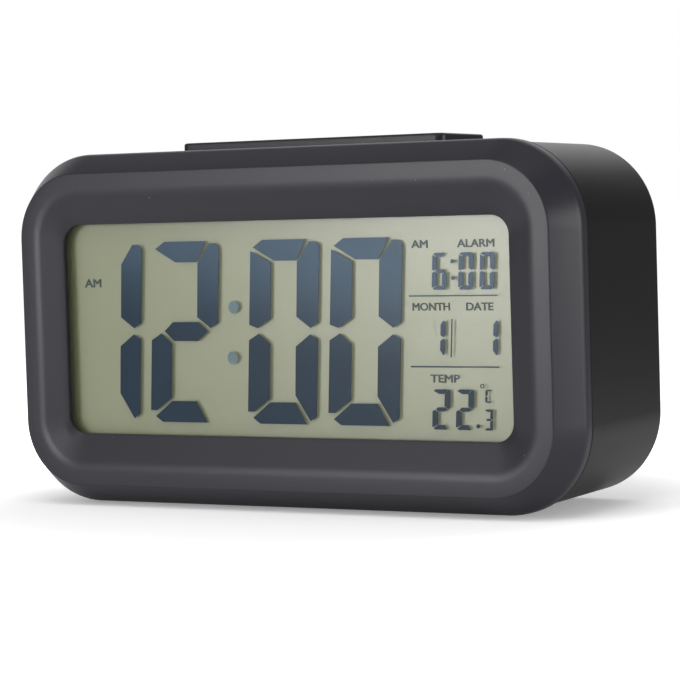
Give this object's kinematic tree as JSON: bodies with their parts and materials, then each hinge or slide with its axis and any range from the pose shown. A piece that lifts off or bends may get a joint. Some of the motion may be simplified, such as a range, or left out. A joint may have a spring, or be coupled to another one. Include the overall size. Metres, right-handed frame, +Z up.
{
  "type": "desk alarm clock",
  "caption": "Desk alarm clock: black moulded case with a sloped bezel, wide segment display, snooze bar on top, rear buttons, slide switch and battery door.",
  "frame": {"origin": "on the table, under the middle of the case, level with the undersides of the feet", "axes": "+X to the right of the display as seen from the front, +Y from the display to the back, +Z up"},
  "size_m": [0.136, 0.045, 0.0773],
  "materials": {
    "bezel_plastic": "satin black moulding",
    "housing_plastic": "satin black moulding",
    "bar_plastic": "satin black moulding",
    "button_plastic": "satin black moulding",
    "polarizer_film": "matt anti-glare film",
    "display_glass": "clear thin glass",
    "segment_dye": "dark blue grey liquid crystal segments",
    "seal_resin": "clear resin",
    "reflector_film": "grey green transflective film",
    "guide_acrylic": "clear acrylic",
    "white_plastic": "white moulding",
    "black_rubber": "matt rubber",
    "grey_rubber": "layered contact rubber",
    "board_laminate": "green laminate",
    "black_resin": "black resin",
    "plain_steel": "plated steel",
    "cell_sleeve": null,
    "buzzer_brass": "brass disc in a black ring",
    "wire_cover": "soft insulation",
    "ribbon_cover": "grey flat cable"
  },
  "bodies": {
    "case": {"aaa_cells": "cell_sleeve", "backlight_leds": "white_plastic", "backlight_sheet": "white_plastic", "battery_springs": "plain_steel", "battery_wires": "wire_cover", "board_screws": "plain_steel", "button_board": "board_laminate", "buzzer": "buzzer_brass", "buzzer_wires": "wire_cover", "contact_plates": "plain_steel", "contact_strips": "grey_rubber", "controller_cap": "black_resin", "display_board": "board_laminate", "display_carrier": "white_plastic", "display_screws": "plain_steel", "front_bezel": "bezel_plastic", "housing_screws": "plain_steel", "lcd_front_glass": "display_glass", "lcd_front_polarizer": "polarizer_film", "lcd_gasket": "black_rubber", "lcd_rear_glass": "display_glass", "lcd_reflector": "reflector_film", "lcd_seal": "seal_resin", "lcd_segments": "segment_dye", "light_guide": "guide_acrylic", "quartz_crystal": "plain_steel", "rear_housing": "housing_plastic", "ribbon_cable": "ribbon_cover", "rubber_feet": "black_rubber", "slide_switch_body": "plain_steel", "snooze_board": "board_laminate", "snooze_switch_body": "black_resin", "snooze_wires": "wire_cover", "switch_bodies": "black_resin", "thermistor": "black_resin"},
    "snooze": {"snooze_bar": "bar_plastic", "snooze_plunger": "black_resin"},
    "mode": {"mode_button": "button_plastic", "mode_plunger": "black_resin"},
    "set": {"set_button": "button_plastic", "set_plunger": "black_resin"},
    "up": {"up_button": "button_plastic", "up_plunger": "black_resin"},
    "down": {"down_button": "button_plastic", "down_plunger": "black_resin"},
    "light_switch": {"light_switch_knob": "button_plastic"},
    "door": {"battery_door": "housing_plastic"}
  },
  "joints": [
    {"name": "snooze_press", "type": "slide", "parent": "case", "child": "snooze", "axis": [0, -0.0182, -0.9998], "range_m": [0, 0.0008], "stiffness_N_per_m": 400, "springref_m": -0.001},
    {"name": "mode_press", "type": "slide", "parent": "case", "child": "mode", "axis": [0, -1, 0], "range_m": [0, 0.0005], "stiffness_N_per_m": 400, "springref_m": -0.0005},
    {"name": "set_press", "type": "slide", "parent": "case", "child": "set", "axis": [0, -1, 0], "range_m": [0, 0.0005], "stiffness_N_per_m": 400, "springref_m": -0.0005},
    {"name": "up_press", "type": "slide", "parent": "case", "child": "up", "axis": [0, -1, 0], "range_m": [0, 0.0005], "stiffness_N_per_m": 400, "springref_m": -0.0005},
    {"name": "down_press", "type": "slide", "parent": "case", "child": "down", "axis": [0, -1, 0], "range_m": [0, 0.0005], "stiffness_N_per_m": 400, "springref_m": -0.0005},
    {"name": "light_switch_slide", "type": "slide", "parent": "case", "child": "light_switch", "axis": [1, 0, 0], "range_m": [0, 0.004]},
    {"name": "door_swing", "type": "hinge", "parent": "case", "child": "door", "pos_m": [0, 0.0225, 0.00705], "axis": [-1, 0, 0], "range_deg": [0, 80]}
  ]
}
